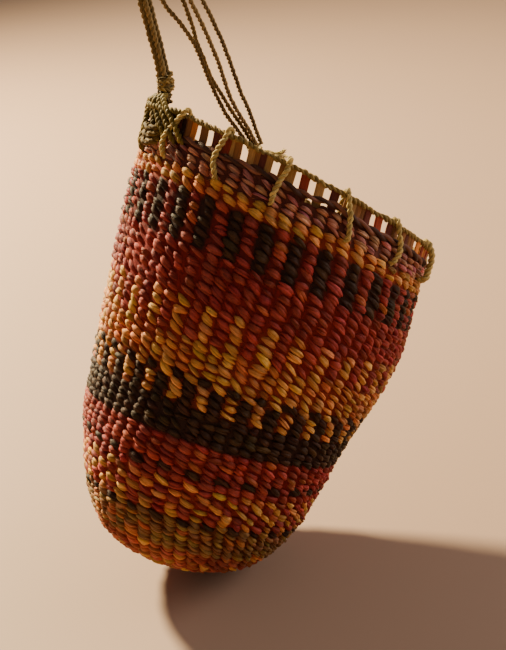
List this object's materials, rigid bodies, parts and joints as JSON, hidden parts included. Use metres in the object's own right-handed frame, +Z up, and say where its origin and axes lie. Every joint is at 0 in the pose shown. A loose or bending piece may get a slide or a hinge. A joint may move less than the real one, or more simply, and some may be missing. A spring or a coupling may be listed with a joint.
{
  "type": "dilly bag",
  "caption": "Small twined plant-fibre bag with an openwork rim, rounded base and a four-string handle, hanging tilted from its strings.",
  "frame": {"origin": "the point where the handle's four strings pass over what they hang from, directly above the bag's balance point", "axes": "+Z up; +X level toward the low side of the mouth as the bag is seen from its patterned near side; +Y level, away from that side"},
  "size_m": [0.1801, 0.1748, 0.3526],
  "materials": {
    "woven_fibre": "matte",
    "olive_string": "matte",
    "handle_string": "matte"
  },
  "bodies": {
    "root": {"bag_weave": "woven_fibre", "rim_cord": "olive_string", "lashing_01": "olive_string", "lashing_02": "olive_string", "lashing_03": "olive_string", "lashing_04": "olive_string", "lashing_05": "olive_string", "lashing_06": "olive_string", "lashing_07": "olive_string", "lashing_08": "olive_string", "lashing_09": "olive_string", "lashing_10": "olive_string", "lashing_11": "olive_string", "lashing_12": "olive_string", "left_binding": "olive_string", "far_binding": "olive_string", "handle_string_1": "handle_string", "handle_string_2": "handle_string", "handle_string_3": "handle_string", "handle_string_4": "handle_string"}
  },
  "joints": []
}
